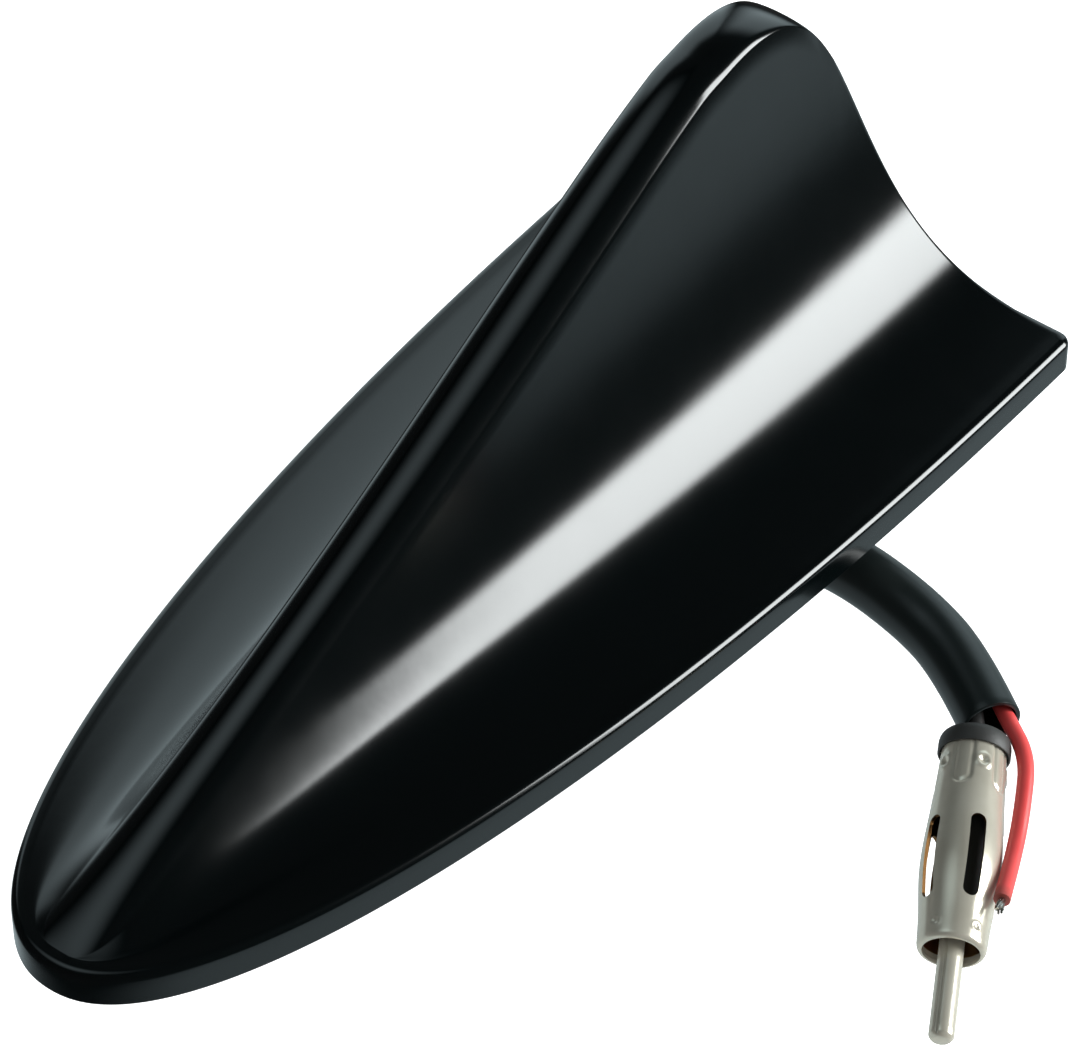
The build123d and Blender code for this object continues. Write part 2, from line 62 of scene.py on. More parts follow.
# Fin housing: crest and cross-section; the crest's line runs on to the rear, and the tip is rounded off it
CREST = [(0.0, 4.8), (97.5, 40.8), (110.2, 63.3), (165.0, 74.7)]
FOOT_SLOPE = 6.5
FOOT_REACH = 0.588
RIDGE_NOSE = 3.4
RIDGE_MIDDLE = 6.4
RIDGE_TAIL = 2.8
RIDGE_LIMIT = 0.7
NOSE_FLARE = 3.2
NOSE_FLARE_POWER = 12
WAIST_RISE = 0.106
WAIST_LEAN_TAIL = 2.5
WAIST_LEAN_NOSE = 7.5
WAIST_EASE = 6.0
CROWN_DROP = 3.7
CROWN_EASE = 5.0
CROWN_EDGE = 0.5
CROWN_WIDTH = 0.62
FLANK_STEPS = 36
CROWN_STEPS = 12

# Fin housing: raked tail with its rounded tip and softened trailing edge
TAIL = [(163.8, RIM_TOP), (152.7, 46.0), (148.7, 64.1), (127.3, 61.3)]
TIP_START = 105.0
TIP_END = 150.5
TIP_EASE = 2.0
TIP_FLATTENING = 0.8
TRAIL_EDGE = 0.6
TRAIL_EDGE_STEPS = 5
TRAIL_EDGE_FADE = 3.0
TAIL_ROWS_START = 100.0
NOSE_ROWS = 90
TAIL_ROWS = 48
TAIL_CROWDING = 1.5
TAIL_ACROSS = [0.03, 0.5, 0.97]
HALVINGS = 30

# Plug: its place and the direction in which its pin points
PLUG_TOP = Vector((30.1, -57.15, -13.8))
PLUG_HEADING = 29.5
PLUG_DROOP = 11.5
PLUG_SIDES = 160
COAX_RADIUS = 1.4
SHELL_PROFILE = [(4.2, 2.4), (4.62, 10.0), (5.2, 19.5), (4.6, 27.5), (4.45, 30.3)]
SHELL_END = 31.5
SHELL_MOUTH = 3.7
SHELL_WALL = 0.5
SLOT_START = 13.7
SLOT_END = 25.5
SLOT_WIDTH = 2.1
SLOT_COUNT = 5
SLOT_ANGLE = 70.0
SLOT_ROUNDING = 0.98
SLOT_ROUND_STEPS = 8
SLOT_CUTTER_DEPTH = 8.0
SLOT_CUTTER_MIDDLE = 5.0
SHELL_STEPS = 36
SHELL_INNER_STEPS = 10
LIP_STEPS = 8
LIP_INNER_STEPS = 4

# Plug: what is pressed into the barrel's outer wall, and how its inner wall is told from it
# Dimples: angle, place along, depth and radius, then the height, radius and width of the bead round each
DIMPLES = [(71.0, 5.5, 0.30, 0.42, 0.16, 0.85, 0.30), (50.0, 29.3, 0.16, 0.34, 0.05, 0.60, 0.20)]
TONGUE_ANGLE = 34.0
TONGUE_END = 7.8
TONGUE_HALF_WIDTH = 1.15
TONGUE_GROOVE_DEPTH = 0.17
TONGUE_GROOVE_WIDTH = 0.26
TONGUE_SINK = 0.05
TONGUE_SINK_EASE = 0.12
PRESSED_WALL_SHARE = 0.6
INNER_DEPTH = 0.10
INNER_FACING = 0.25
INNER_END = 29.9

# Plug: profiles of collar, pin and bush, as (radius, along)
COLLAR_DOME = [(3.5, 0.0), (4.7, 0.0), (4.7, 1.6)]
COLLAR_DOME_STEPS = 10
COLLAR_SKIRT = [(4.7, 2.7), (4.62, 2.85), (4.45, 2.85), (4.38, 2.7), (4.38, 1.9)]
COLLAR_BORE_END = 1.9
COLLAR_SIDES = 96
PIN_RADIUS = 1.625
PIN_START = 27.0
PIN_STRAIGHT = 16.3
PIN_ROWS = 20
PIN_TIP = [(1.56, 43.5), (1.36, 43.78), (1.18, 43.94), (1.05, 44.0), (0.0, 44.0)]
PIN_SIDES = 120
PIN_SEAM_ANGLE = 112.0
PIN_SEAM_WIDTH = 4.0
PIN_SEAM_DEPTH = 0.10
PIN_SEAM_FROM = 1.5
BUSH_HEAD = [(0.0, 4.0), (3.5, 4.0), (3.7, 4.2), (3.7, 7.3), (3.5, 7.5)]
BUSH_STEM = [(2.7, 7.5), (2.7, 26.7), (2.4, 27.0), (0.0, 27.0)]
BUSH_SIDES = 64

# Sleeve, coax and supply wire
SLEEVE_RADIUS = 4.1
SLEEVE_BORE = 3.5
COAX_SHIFT = Vector((-1.35, 0.4, -0.2))
WIRE_RADIUS = 1.1
WIRE_SHIFT = Vector((2.1, -0.6, 0.2))
SLEEVE_START = Vector((36.0, 0.0, 6.2))
SLEEVE_ROUTE = [
    Vector((36.0, 0.0, -2.4)),
    Vector((36.9, -5.7, -7.4)),
    Vector((38.6, -17.0, -8.0)),
    Vector((40.7, -28.2, -7.6)),
    Vector((41.8, -39.2, -11.4)),
    Vector((38.9, -48.6, -12.5)),
]
SLEEVE_END_BACK = 2.4
SLEEVE_END_SIDE = 1.65
COAX_HEIGHT = 11.6
COAX_START_X = 20.5
COAX_TURN_BACK = 3.4
COAX_END = 4.0
WIRE_BOARD_END = Vector((17.0, 6.4, 8.9))
WIRE_ARCH = Vector((27.0, 8.2, 13.5))
WIRE_BESIDE_PLUG = [
    (-3.4, 3.6, 0.3),
    (2.2, 6.8, 0.6),
    (9.4, 6.9, 0.6),
    (16.6, 6.5, 0.6),
    (25.0, 5.6, 3.2),
]
CORD_STEPS = 16
CORD_ROUNDNESS = 8
SLEEVE_ROUNDNESS = 14
SLEEVE_CUT_EDGE = 0.12
SLEEVE_CUT_STEPS = 2
SLEEVE_CUT_ANGLE = 60.0

# Bare strands: one in the middle and the rest twisted round it, of uneven lengths
STRANDS_AROUND = 7
STRAND_RADIUS = 0.165
STRAND_SPREAD = 0.36
STRAND_LENGTH = 1.7
STRAND_UNEVENNESS = 0.5
STRAND_STRIDE = 5
STRAND_ROOT = 0.4
STRAND_TWIST = 1.1
STRAND_FRAY = 0.25
STRAND_POINTS = 7
STRAND_STEPS = 4
STRAND_ROUNDNESS = 3


class Wire:
    """A socket of a finish's nodes: arithmetic on it adds Math nodes."""

    def __init__(self, finish, socket):
        self.finish = finish
        self.socket = socket

    def maths(self, operation, first, second=0.0):
        return self.finish.add("ShaderNodeMath", {"operation": operation}, {0: first, 1: second})

    def __add__(self, other):
        return self.maths("ADD", self, other)

    def __radd__(self, other):
        return self.maths("ADD", other, self)

    def __sub__(self, other):
        return self.maths("SUBTRACT", self, other)

    def __rsub__(self, other):
        return self.maths("SUBTRACT", other, self)

    def __mul__(self, other):
        return self.maths("MULTIPLY", self, other)

    def __rmul__(self, other):
        return self.maths("MULTIPLY", other, self)


class Finish:
    """A material with its Principled shader, and ways to add nodes to it."""

    def __init__(self, name, **constants):
        self.material = bpy.data.materials.new(name)
        self.material.use_nodes = True
        self.tree = self.material.node_tree
        self.shader = self.tree.nodes["Principled BSDF"]
        for socket, value in constants.items():
            self.shader.inputs[socket.replace("_", " ").title().replace("Ior", "IOR")].default_value = value

    def join(self, socket, value):
        """Links a wire to a socket, or sets the socket's value."""
        if isinstance(value, Wire):
            self.tree.links.new(value.socket, socket)
        else:
            socket.default_value = value

    def add(self, kind, settings, sockets, output=0):
        """A node of a type with its settings and sockets: the wire of one of its outputs."""
        node = self.tree.nodes.new(kind)
        for name, value in settings.items():
            setattr(node, name, value)
        for name, value in sockets.items():
            self.join(node.inputs[name], value)
        return Wire(self, node.outputs[output])

    def feed(self, socket, wire):
        """Links a wire to one of the shader's sockets."""
        self.join(self.shader.inputs[socket], wire)

    def places(self):
        """The surface's own coordinates, in metres."""
        return self.add("ShaderNodeTexCoord", {}, {}, "Object")

    def noise(self, scale, detail=3.0):
        """Soft noise from 0 to 1, with a scale in features per metre."""
        sockets = {"Scale": scale, "Detail": detail, "Vector": self.places()}
        return self.add("ShaderNodeTexNoise", {}, sockets, 0)

    def between(self, wire, low, high):
        """A mask that rises smoothly from 0 at low to 1 at high."""
        sockets = {"Value": wire, "From Min": low, "From Max": high}
        return self.add("ShaderNodeMapRange", {"interpolation_type": "SMOOTHSTEP"}, sockets)

    def blend(self, factor, first, second):
        """One colour where the factor is 0, another where it is 1."""
        sockets = {0: factor, 6: first, 7: second}
        return self.add("ShaderNodeMix", {"data_type": "RGBA"}, sockets, 2)

    def bump(self, height, strength, distance):
        """A relief of some depth in metres, for the shader's normal."""
        sockets = {"Height": height, "Strength": strength, "Distance": distance}
        self.feed("Normal", self.add("ShaderNodeBump", {}, sockets))

    def distance_to(self, point):
        """How far the surface is from a point, in metres."""
        settings = {"operation": "DISTANCE"}
        return self.add("ShaderNodeVectorMath", settings, {0: self.places(), 1: point}, "Value")


def gloss_black():
    """Moulded gloss black of the fin, with a faint green cast and a few soft smears."""
    finish = Finish("gloss_black", ior=1.5)
    smears = finish.noise(28.0, 4.0)
    finish.feed("Base Color", finish.blend(smears, (0.0005, 0.0012, 0.0014, 1), (0.0011, 0.0022, 0.0024, 1)))
    finish.feed("Roughness", 0.12 + 0.05 * finish.noise(160.0, 5.0))
    finish.bump(finish.noise(420.0, 2.0), 0.02, 0.0002)
    return finish.material


def grained_plastic(name, dark, light, roughness):
    """Moulded plastic with a fine spark-eroded grain."""
    finish = Finish(name, ior=1.5)
    patches = finish.noise(90.0, 4.0)
    finish.feed("Base Color", finish.blend(patches, (*dark, 1), (*light, 1)))
    finish.feed("Roughness", roughness + 0.12 * finish.noise(500.0))
    finish.bump(finish.noise(2600.0, 2.0), 0.25, 0.00008)
    return finish.material


def pad_foam():
    """Closed-cell foam of the pad, full of small cells."""
    finish = Finish("pad_foam", roughness=0.9)
    cells = finish.add("ShaderNodeTexVoronoi", {}, {"Vector": finish.places(), "Scale": 1100.0}, "Distance")
    finish.feed("Base Color", finish.blend(cells, (0.018, 0.019, 0.020, 1), (0.052, 0.054, 0.056, 1)))
    finish.bump(cells, 0.5, 0.0003)
    return finish.material


def bright_metal(name, dull, bright, roughness, metallic=1.0):
    """Plated or drawn metal with fine scratches and a little tarnish."""
    finish = Finish(name, metallic=metallic)
    tarnish = finish.noise(140.0, 5.0)
    finish.feed("Base Color", finish.blend(tarnish, (*dull, 1), (*bright, 1)))
    scratches = finish.noise(1500.0, 3.0)
    finish.feed("Roughness", roughness + 0.14 * scratches * tarnish)
    finish.bump(finish.noise(520.0, 3.0), 0.06, 0.0001)
    return finish.material


def circuit_board():
    """Green solder resist with lighter copper tracks under it."""
    finish = Finish("circuit_board", roughness=0.38)
    sockets = {"Vector": finish.places(), "Scale": 260.0, "Randomness": 0.25}
    tracks = finish.add("ShaderNodeTexVoronoi", {"feature": "DISTANCE_TO_EDGE"}, sockets, "Distance")
    track = 1 - finish.between(tracks, 0.05, 0.14)
    cloud = finish.noise(200.0)
    resist = finish.blend(cloud, (0.006, 0.045, 0.018, 1), (0.010, 0.062, 0.026, 1))
    finish.feed("Base Color", finish.blend(track, resist, (0.035, 0.150, 0.055, 1)))
    finish.bump(track, 0.3, 0.00005)
    return finish.material


def sleeve_plastic():
    """Satin black sleeve with a green cast and a faintly uneven skin."""
    finish = Finish("sleeve_plastic", ior=1.48)
    cloud = finish.noise(110.0, 4.0)
    finish.feed("Base Color", finish.blend(cloud, (0.0025, 0.0050, 0.0050, 1), (0.0060, 0.0095, 0.0095, 1)))
    finish.feed("Roughness", 0.30 + 0.10 * finish.noise(420.0))
    finish.bump(finish.noise(800.0, 3.0), 0.08, 0.0001)
    return finish.material


def wire_insulation(end):
    """Semi-gloss red insulation, browned where it was cut and stripped."""
    finish = Finish("wire_insulation", ior=1.5)
    cloud = finish.noise(260.0, 4.0)
    red = finish.blend(cloud, (0.68, 0.055, 0.055, 1), (0.78, 0.085, 0.080, 1))
    stripped = 1 - finish.between(finish.distance_to(end) + 0.0012 * finish.noise(900.0), 0.0012, 0.0030)
    finish.feed("Base Color", finish.blend(stripped * 0.8, red, (0.16, 0.045, 0.030, 1)))
    finish.feed("Roughness", 0.34 + 0.10 * finish.noise(700.0))
    finish.bump(finish.noise(900.0), 0.08, 0.0001)
    return finish.material


def raw_brass():
    """Bare brass inside the barrel and on the walls of its slots."""
    return bright_metal("raw_brass", (0.16, 0.075, 0.025), (0.34, 0.170, 0.060), 0.36)


def deselect():
    """Leaves nothing selected."""
    for obj in bpy.context.selected_objects:
        obj.select_set(False)


def pick(*objs):
    """Selects these objects alone, and makes the last one active."""
    deselect()
    for obj in objs:
        obj.select_set(True)
    bpy.context.view_layer.objects.active = objs[-1]
    return objs[-1]


def edit(obj, *steps):
    """Runs steps in edit mode with the whole mesh selected."""
    pick(obj)
    bpy.ops.object.mode_set(mode="EDIT")
    bpy.ops.mesh.select_all(action="SELECT")
    for step in steps:
        step()
    bpy.ops.object.mode_set(mode="OBJECT")


def merge():
    """Merges points that lie on each other."""
    bpy.ops.mesh.remove_doubles(threshold=MERGE_GAP * MM)


def face_out():
    """Turns the faces outwards."""
    bpy.ops.mesh.normals_make_consistent(inside=False)


def apply_modifier(obj, kind, **settings):
    """Adds a modifier and applies it."""
    modifier = obj.modifiers.new(kind.title(), kind)
    for name, value in settings.items():
        setattr(modifier, name, value)
    pick(obj)
    bpy.ops.object.modifier_apply(modifier=modifier.name)


def settle(obj, name, angle=SMOOTH_ANGLE):
    """Names a finished mesh and smooths what isn't a sharp edge."""
    obj.name = name
    obj.data.name = name
    pick(obj)
    bpy.ops.object.shade_smooth_by_angle(angle=math.radians(angle))
    return obj


def add_piece(obj, material, slot, *nodes):
    """Gives a piece its material and its place in the frame."""
    if material:
        obj.data.materials.clear()
        obj.data.materials.append(material)
    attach(obj, "root")
    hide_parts(*nodes)
    return obj


def shaped_grid(columns, rows, place):
    """A grid whose points are put where place(column, row) says, in millimetres."""
    deselect()
    bpy.ops.mesh.primitive_grid_add(x_subdivisions=columns, y_subdivisions=rows, size=2.0)
    grid = bpy.context.active_object
    for vertex in grid.data.vertices:
        column = round((vertex.co.x + 1) / 2 * columns)
        row = round((vertex.co.y + 1) / 2 * rows)
        vertex.co = Vector(place(column, row)) * MM
    return grid


def join_meshes(objs):
    """One mesh out of several, with shared points merged and faces outwards."""
    whole = pick(*objs)
    bpy.ops.object.join()
    edit(whole, merge, face_out)
    return whole


def bezier(points, share):
    """A point of a Bezier curve, and the direction there."""
    levels = [Vector(point) for point in points]
    while len(levels) > 2:
        levels = [first.lerp(second, share) for first, second in zip(levels, levels[1:])]
    return levels[0].lerp(levels[1], share), levels[1] - levels[0]


def share_along(points, axis, value):
    """Share of a curve at which it passes a value on one axis."""
    low, high = 0.0, 1.0
    for _ in range(HALVINGS):
        middle = (low + high) / 2
        if bezier(points, middle)[0][axis] < value:
            low = middle
        else:
            high = middle
    return low


def height_along(points, distance):
    """Height of a curve at a distance from the nose."""
    return bezier(points, share_along(points, 0, distance))[0].y


def nose_ledge():
    """Width of the flat ledge inside the rim: the crest leaves the rim's top there."""
    return bezier(CREST, share_along(CREST, 1, RIM_TOP))[0].x


LEDGE = nose_ledge()


def foot_half_width(distance):
    """Half width of the blade's foot at a distance from the nose."""
    behind = min(1.0, max(0.0, (LENGTH - distance) / (LENGTH - LEDGE)))
    return (HALF_WIDTH - LEDGE) * (1 - behind**OUTLINE_POWER) ** (1 / OUTLINE_POWER)


def crest_height(distance):
    """Height of the crest: its own line, eased into the tail's curve at the tip."""
    line = height_along(CREST, distance)
    tail = height_along(TAIL[::-1], min(distance, TIP_END))
    return (line + tail - math.hypot(line - tail, TIP_EASE)) / 2


@functools.cache
def section(distance):
    """Control points of flank and crown at a distance from the nose, and the flank's share in use."""
    share = share_along(CREST, 0, distance)
    foot_y = foot_half_width(distance)
    rise = max(0.0, height_along(CREST, distance) - RIM_TOP)
    ridge = RIDGE_NOSE * (1 - share) ** 2 + 2 * RIDGE_MIDDLE * share * (1 - share) + RIDGE_TAIL * share**2
    ridge += NOSE_FLARE * (1 - share) ** NOSE_FLARE_POWER
    ridge = ridge * RIDGE_LIMIT * foot_y / math.hypot(ridge, RIDGE_LIMIT * foot_y)
    span = foot_y - ridge
    drop = CROWN_DROP * rise / (rise + CROWN_EASE)
    lean = WAIST_LEAN_TAIL + (WAIST_LEAN_NOSE - WAIST_LEAN_TAIL) * (1 - share) ** 2
    lean = lean * span / (span + WAIST_EASE)
    reach = FOOT_REACH * span
    slope = math.tan(math.radians(FOOT_SLOPE)) * rise / (rise + WAIST_EASE)
    flank = [
        (foot_y, RIM_TOP),
        (foot_y - reach, RIM_TOP + reach * slope),
        (ridge + lean, RIM_TOP + WAIST_RISE * (rise - drop)),
        (ridge, RIM_TOP + rise - drop),
    ]
    over_tip = min(1.0, max(0.0, (distance - TIP_START) / (TIP_END - TIP_START)))
    drop *= 1 - TIP_FLATTENING * over_tip**2 * (3 - 2 * over_tip)
    crest_z = max(RIM_TOP, crest_height(distance))
    in_use = share_along(flank, 1, crest_z - drop)
    shoulder, way = bezier(flank, in_use)
    # The crown leaves the flank without a crease, so that both die away together at the nose
    edge = shoulder + way.normalized() * CROWN_EDGE * drop if way.length else shoulder
    # The middle control height that puts the top of a five-step curve on the crest
    middle_z = (32 * crest_z - 2 * shoulder.y - 10 * edge.y) / 20
    half_crown = [tuple(shoulder), tuple(edge), (CROWN_WIDTH * shoulder.x, middle_z)]
    crown = half_crown + [(-y, z) for y, z in reversed(half_crown)]
    return flank, in_use, crown


def section_point(distance, step):
    """A step of the way from the foot over the flank to the crest: y and z, and the outward normal there."""
    flank, in_use, crown = section(distance)
    if step <= FLANK_STEPS:
        point, way = bezier(flank, in_use * step / FLANK_STEPS)
    else:
        point, way = bezier(crown, (step - FLANK_STEPS) / CROWN_STEPS / 2)
    normal = Vector((way.y, -way.x))
    return point, normal.normalized() if normal.length else Vector((0.0, 1.0))


def tail_at(height):
    """Distance of the tail from the nose at a height, and the tail's normal there."""
    point, way = bezier(TAIL, share_along(TAIL, 1, height))
    return point.x, Vector((way.y, -way.x)).normalized()


def tail_end(step):
    """Distance from the nose at which a line along the blade meets the tail."""
    low, high = TAIL_ROWS_START, LENGTH
    for _ in range(HALVINGS):
        middle = (low + high) / 2
        if middle < tail_at(section_point(middle, step)[0].y)[0]:
            low = middle
        else:
            high = middle
    return low


def nose_row(index):
    """A cross-section of the blade's forward part."""
    last = math.acos(((LENGTH - TAIL_ROWS_START) / (LENGTH - LEDGE)) ** (OUTLINE_POWER / 2))
    angle = last * index / NOSE_ROWS
    distance = LENGTH - (LENGTH - LEDGE) * math.cos(angle) ** (2 / OUTLINE_POWER)
    if index == 0:
        return [(LEDGE, 0.0, RIM_TOP)] * (FLANK_STEPS + CROWN_STEPS + 1)
    points = [section_point(distance, step)[0] for step in range(FLANK_STEPS + CROWN_STEPS + 1)]
    return [(distance, point.x, point.y) for point in points]


def tail_point(step, end, short, inset):
    """A point of the rear part: some way short of the end of its line, and drawn in."""
    distance = end - short
    point, normal = section_point(distance, step)
    if step > FLANK_STEPS:
        # The crown runs on into the tail: it's drawn in from its sides only
        crown = section(distance)[2]
        ridge = crown[0][0]
        normal = Vector((point.x / ridge, 0.0))
    facing = tail_at(point.y)[1]
    sharpness = 1 - max(0.0, normal.y * facing.y)
    depth = inset * sharpness * min(1.0, (point.y - RIM_TOP) / TRAIL_EDGE_FADE)
    return (distance, point.x - normal.x * depth, point.y - normal.y * depth)


def blade_rows():
    """Rows of half cross-sections from the nose to the tail, the last ones round the trailing edge."""
    ends = [tail_end(step) for step in range(FLANK_STEPS + CROWN_STEPS + 1)]
    rows = [nose_row(index) for index in range(NOSE_ROWS + 1)]
    for index in range(1, TAIL_ROWS + 1):
        left = (1 - index / TAIL_ROWS) ** TAIL_CROWDING
        row = []
        for step, end in enumerate(ends):
            row.append(tail_point(step, end, TRAIL_EDGE + left * (end - TRAIL_EDGE - TAIL_ROWS_START), 0.0))
        rows.append(row)
    for index in range(1, TRAIL_EDGE_STEPS + 1):
        angle = math.pi / 2 * index / TRAIL_EDGE_STEPS
        short = TRAIL_EDGE * (1 - math.sin(angle))
        inset = TRAIL_EDGE * (1 - math.cos(angle))
        rows.append([tail_point(step, end, short, inset) for step, end in enumerate(ends)])
    return rows


def from_nose(distance):
    """X of a place at a distance from the nose."""
    return distance - LENGTH / 2


def blade_mesh(rows):
    """The blade's skin: over both flanks and the crest."""
    top = FLANK_STEPS + CROWN_STEPS

    def place(column, row):
        distance, y, z = rows[column][min(row, 2 * top - row)]
        side = (row > top) - (row < top)
        return from_nose(distance), side * y, z

    return shaped_grid(len(rows) - 1, 2 * top, place)


def tail_mesh(rows):
    """The raked face that closes the blade's tail."""
    across = [0.0, *TAIL_ACROSS, 1.0]
    edge = rows[-1]

    def place(column, row):
        distance, y, z = edge[row]
        return from_nose(distance), y * (2 * across[column] - 1), z

    return shaped_grid(len(across) - 1, len(edge) - 1, place)


def rim_profile():
    """Inset and height of the rim's rings, from the rounded top edge down."""
    rings = []
    for step in range(RIM_EDGE_STEPS + 1):
        angle = math.pi / 2 * step / RIM_EDGE_STEPS
        rings.append((RIM_EDGE * (1 - math.sin(angle)), RIM_TOP - RIM_EDGE * (1 - math.cos(angle))))
    middle = (RIM_BOTTOM + RIM_TOP) / 2
    return rings + [(0.0, middle), (0.0, RIM_BOTTOM)]


def round_the_rim(side):
    """A closed ring of plan points out of one side's, with the straight rear edge between the ends."""
    distance, y = side[-1]
    rear = [(distance, y * (2 * share - 1)) for share in TAIL_ACROSS]
    return [(x, -y) for x, y in side] + rear + side[::-1]


def rim_ring(foot, inset):
    """Plan points of one ring of the rim, beside the blade's foot and round the rear corners."""
    corner = LENGTH - REAR_CORNER
    side = []
    for distance, y in foot:
        along = LENGTH + (distance - LENGTH) * (LENGTH - inset) / (LENGTH - LEDGE)
        if along < corner:
            side.append((along, y * (HALF_WIDTH - inset) / (HALF_WIDTH - LEDGE)))
        else:
            side.append((corner, HALF_WIDTH - inset))
    radius = REAR_CORNER - inset
    for step in range(1, REAR_CORNER_STEPS + 1):
        angle = math.pi / 2 * step / REAR_CORNER_STEPS
        y = HALF_WIDTH - REAR_CORNER + radius * math.cos(angle)
        side.append((corner + radius * math.sin(angle), y))
    return round_the_rim(side)


def rim_mesh(rows):
    """The rim round the blade's foot."""
    foot = [row[0][:2] for row in rows]
    rings = [round_the_rim(foot + [foot[-1]] * REAR_CORNER_STEPS)]
    heights = [RIM_TOP]
    for inset, height in rim_profile():
        rings.append(rim_ring(foot, inset))
        heights.append(height)

    def place(column, row):
        distance, y = rings[row][column]
        return from_nose(distance), y, heights[row]

    return shaped_grid(len(rings[0]) - 1, len(rings) - 1, place)


def fin_housing():
    """The moulded housing. Its gloss shows every ripple, so its skin follows the curves point by point."""
    rows = blade_rows()
    housing = join_meshes([blade_mesh(rows), tail_mesh(rows), rim_mesh(rows)])
    apply_modifier(housing, "SOLIDIFY", thickness=WALL * MM, offset=-1.0)
    return settle(housing, "fin_housing", FIN_SMOOTH_ANGLE)


def plug_matrix():
    """The plug's own frame: x aside, y above, z along the pin."""
    heading, droop = math.radians(PLUG_HEADING), math.radians(PLUG_DROOP)
    level = math.cos(droop)
    along = Vector((-math.cos(heading) * level, -math.sin(heading) * level, -math.sin(droop)))
    aside = Vector((math.sin(heading), -math.cos(heading), 0.0))
    above = along.cross(aside)
    matrix = Matrix((aside, above, along)).transposed().to_4x4()
    matrix.translation = PLUG_TOP
    return matrix


PLUG = plug_matrix()


def at_plug(along, aside, above):
    """A point given in the plug's own directions, in millimetres."""
    return PLUG @ Vector((aside, above, along))


def put_on_plug(obj):
    """Moves a piece from its own axis to the plug, with its place in its mesh."""
    matrix = PLUG.copy()
    matrix.translation = PLUG.translation * MM
    pick(obj)
    obj.matrix_world = matrix
    bpy.ops.object.transform_apply(location=True, rotation=True, scale=True)


def turned(profile, sides=PLUG_SIDES, closed=False):
    """A profile of (radius, along) drawn out point by point and spun about the z axis."""
    deselect()
    bpy.ops.mesh.primitive_plane_add(size=MM)
    obj = bpy.context.active_object
    pick(obj)
    bpy.ops.object.mode_set(mode="EDIT")
    bpy.ops.mesh.select_mode(type="VERT")
    bpy.ops.mesh.select_all(action="SELECT")
    bpy.ops.mesh.merge(type="CENTER")
    points = [Vector((radius, 0.0, along)) * MM for radius, along in profile]
    bpy.ops.transform.translate(value=points[0])
    for before, after in zip(points, points[1:]):
        bpy.ops.mesh.extrude_vertices_move(TRANSFORM_OT_translate={"value": after - before})
    bpy.ops.mesh.select_all(action="SELECT")
    if closed:
        ends = [points[0], points[-1]]
        bpy.ops.mesh.select_all(action="DESELECT")
        bpy.ops.object.mode_set(mode="OBJECT")
        for vertex in obj.data.vertices:
            vertex.select = any((vertex.co - end).length < SAME_PLACE * MM for end in ends)
        bpy.ops.object.mode_set(mode="EDIT")
        bpy.ops.mesh.edge_face_add()
        bpy.ops.mesh.select_all(action="SELECT")
    bpy.ops.mesh.spin(steps=sides, angle=2 * math.pi, center=(0, 0, 0), axis=(0, 0, 1))
    bpy.ops.mesh.select_all(action="SELECT")
    merge()
    face_out()
    bpy.ops.object.mode_set(mode="OBJECT")
    return obj


def smooth_profile(points, steps):
    """A profile drawn smoothly through a few points."""
    fine = []
    for index in range(len(points) - 1):
        before = Vector(points[max(index - 1, 0)])
        first, second = Vector(points[index]), Vector(points[index + 1])
        after = Vector(points[min(index + 2, len(points) - 1)])
        gap = second.y - first.y
        start = (second - before) / (second.y - before.y) * gap
        end = (after - first) / (after.y - first.y) * gap
        for step in range(steps):
            fine.append(bezier([first, first + start / 3, second - end / 3, second], step / steps)[0])
    return [tuple(point) for point in fine] + [points[-1]]


def rolled_lip(radius, start, end, mouth, steps):
    """The barrel's mouth rolled inwards."""
    curve = [(radius, start), (radius, end), (mouth, end)]
    return [tuple(bezier(curve, step / steps)[0]) for step in range(1, steps + 1)]


def around(angle, centre):
    """How far an angle is from the nearest of the plug's equal parts, in degrees."""
    part = 360 / SLOT_COUNT
    return (angle - centre + part / 2) % part - part / 2


def bell(distance, width):
    """A smooth bump: 1 at its middle, and nearly 0 two widths away."""
    return math.exp(-((distance / width) ** 2))


def pressed_relief(angle, along, radius):
    """Depth of what is pressed into the barrel: beaded dimples and round-ended tongues."""
    depth = 0.0
    for centre, place, sink, size, bead, bead_radius, bead_width in DIMPLES:
        off = math.hypot(math.radians(around(angle, centre)) * radius, along - place)
        depth += sink * bell(off, size) - bead * bell(off - bead_radius, bead_width)
    aside = math.radians(around(angle, TONGUE_ANGLE)) * radius
    below = max(0.0, along - TONGUE_END)
    off = math.hypot(aside, below) - TONGUE_HALF_WIDTH
    depth += TONGUE_GROOVE_DEPTH * bell(off, TONGUE_GROOVE_WIDTH)
    return depth + TONGUE_SINK / (1 + math.exp(off / TONGUE_SINK_EASE))


def press_barrel(obj):
    """Presses the relief into the barrel's outer wall, short of its lip."""
    start, end = SHELL_PROFILE[0][1], SHELL_PROFILE[-1][1]
    for vertex in obj.data.vertices:
        along = vertex.co.z / MM
        radius = math.hypot(vertex.co.x, vertex.co.y) / MM
        on_wall = start <= along <= end
        if not on_wall or radius < barrel_radius(along) - PRESSED_WALL_SHARE * SHELL_WALL:
            continue
        angle = math.degrees(math.atan2(vertex.co.y, vertex.co.x))
        shrink = 1 - pressed_relief(angle, along, radius) / radius
        vertex.co.x *= shrink
        vertex.co.y *= shrink


BARREL = smooth_profile(SHELL_PROFILE, SHELL_STEPS)


def barrel_radius(along):
    """Outer radius of the barrel at a place along it."""
    return min(BARREL, key=lambda point: abs(point[1] - along))[0]


